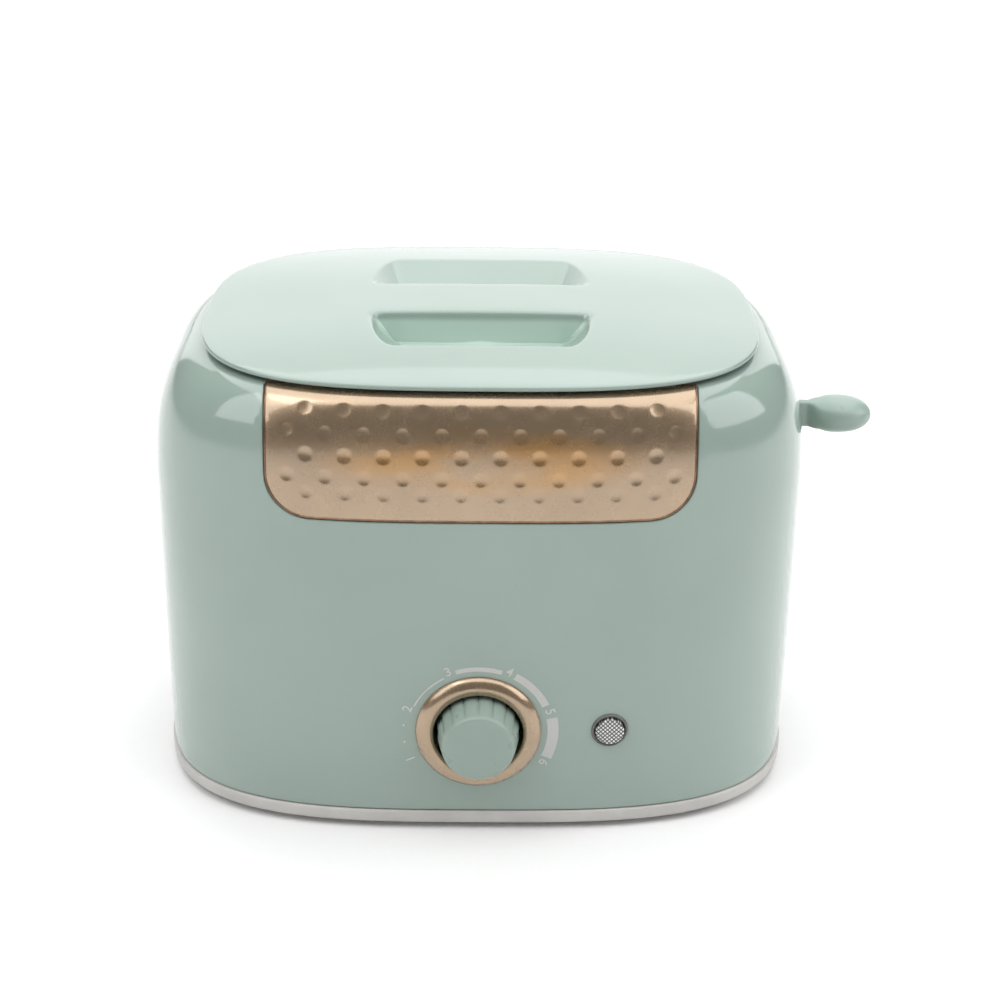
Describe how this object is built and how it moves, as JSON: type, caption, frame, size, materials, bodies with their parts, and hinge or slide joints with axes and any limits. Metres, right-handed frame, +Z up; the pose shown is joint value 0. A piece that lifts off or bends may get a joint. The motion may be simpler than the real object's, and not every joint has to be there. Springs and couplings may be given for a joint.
{
  "type": "two-slice toaster",
  "caption": "Mint-green bread toaster with two slots under a lift-off dust cover, dimpled champagne front panel, browning knob, stop button, side lever and pull-out crumb tray.",
  "frame": {"origin": "on the table under the middle of the overall box, lever included", "axes": "+Z up, front with the knob faces -Y, lever on +X"},
  "size_m": [0.2684, 0.18, 0.1782],
  "materials": {
    "mint_gloss": "glossy mint-green moulded plastic",
    "champagne": "champagne-gold metallised plastic",
    "grey_plastic": "light grey satin plastic",
    "black_plastic": "black moulded plastic",
    "clear_lens": "clear prismatic plastic",
    "steel": "bright sheet steel and wire",
    "zinc_steel": "zinc-plated pressed steel",
    "mica": "mica board wound with resistance tape",
    "rubber": "soft dark rubber",
    "circuit_board": "green circuit board",
    "copper": "enamelled copper winding",
    "brass": "turned brass"
  },
  "bodies": {
    "toaster_body": {"base": "grey_plastic", "base_screw_front_left": "zinc_steel", "base_screw_front_right": "zinc_steel", "base_screw_rear_left": "zinc_steel", "base_screw_rear_right": "zinc_steel", "button_sleeve": "black_plastic", "control_board": "circuit_board", "cord_gland": "rubber", "decor_panel": "champagne", "end_plate_left": "zinc_steel", "end_plate_right": "zinc_steel", "foot_front_left": "rubber", "foot_front_right": "rubber", "foot_rear_left": "rubber", "foot_rear_right": "rubber", "guide_rod_front": "steel", "guide_rod_rear": "steel", "heater_front_inner": "mica", "heater_front_outer": "mica", "heater_rear_inner": "mica", "heater_rear_outer": "mica", "housing": "mint_gloss", "indicator_lamp": "clear_lens", "knob_bezel": "champagne", "magnet_coil": "copper", "magnet_core": "steel", "main_board": "circuit_board", "potentiometer": "zinc_steel", "power_switch": "black_plastic", "reflector_front": "steel", "reflector_rear": "steel", "slot_deck": "steel", "stop_switch": "black_plastic"},
    "dust_cover": {"dust_cover": "mint_gloss"},
    "knob": {"browning_knob": "mint_gloss", "knob_shaft": "brass"},
    "button": {"stop_button": "clear_lens", "button_plunger": "black_plastic"},
    "carriage": {"carriage_bracket": "zinc_steel", "bread_rack_front": "steel", "bread_rack_rear": "steel", "lever_arm": "zinc_steel", "lever_knob": "mint_gloss", "latch_plate": "steel", "carriage_spring": "steel"},
    "tray": {"crumb_tray": "steel", "tray_handle": "grey_plastic"},
    "guard_front_outer": {"bread_guard_front_outer": "steel"},
    "guard_front_inner": {"bread_guard_front_inner": "steel"},
    "guard_rear_outer": {"bread_guard_rear_outer": "steel"},
    "guard_rear_inner": {"bread_guard_rear_inner": "steel"}
  },
  "joints": [
    {"name": "cover_lift", "type": "slide", "parent": "toaster_body", "child": "dust_cover", "axis": [0, 0, 1], "range_m": [0, 0.12]},
    {"name": "knob_turn", "type": "hinge", "parent": "toaster_body", "child": "knob", "pos_m": [-0.0142, -0.078, 0.0425], "axis": [0, -1, 0], "range_deg": [0, 247]},
    {"name": "button_press", "type": "slide", "parent": "toaster_body", "child": "button", "axis": [0, 1, 0], "range_m": [0, 0.002], "stiffness_N_per_m": 600, "springref_m": -0.001},
    {"name": "carriage_slide", "type": "slide", "parent": "toaster_body", "child": "carriage", "axis": [0, 0, -1], "range_m": [0, 0.078], "stiffness_N_per_m": 60, "springref_m": -0.06, "deforming": ["carriage_spring"]},
    {"name": "tray_pull", "type": "slide", "parent": "toaster_body", "child": "tray", "axis": [0, 1, 0], "range_m": [0, 0.13]},
    {"name": "guard_front_outer_close", "type": "slide", "parent": "toaster_body", "child": "guard_front_outer", "axis": [0, 1, 0], "range_m": [0, 0.005]},
    {"name": "guard_front_inner_close", "type": "slide", "parent": "toaster_body", "child": "guard_front_inner", "axis": [0, -1, 0], "range_m": [0, 0.005]},
    {"name": "guard_rear_outer_close", "type": "slide", "parent": "toaster_body", "child": "guard_rear_outer", "axis": [0, -1, 0], "range_m": [0, 0.005]},
    {"name": "guard_rear_inner_close", "type": "slide", "parent": "toaster_body", "child": "guard_rear_inner", "axis": [0, 1, 0], "range_m": [0, 0.005]}
  ],
  "couplings": [
    {"joint": "guard_front_outer_close", "follows": "carriage_slide", "ratio": 0.064},
    {"joint": "guard_front_inner_close", "follows": "carriage_slide", "ratio": 0.064},
    {"joint": "guard_rear_outer_close", "follows": "carriage_slide", "ratio": 0.064},
    {"joint": "guard_rear_inner_close", "follows": "carriage_slide", "ratio": 0.064}
  ]
}
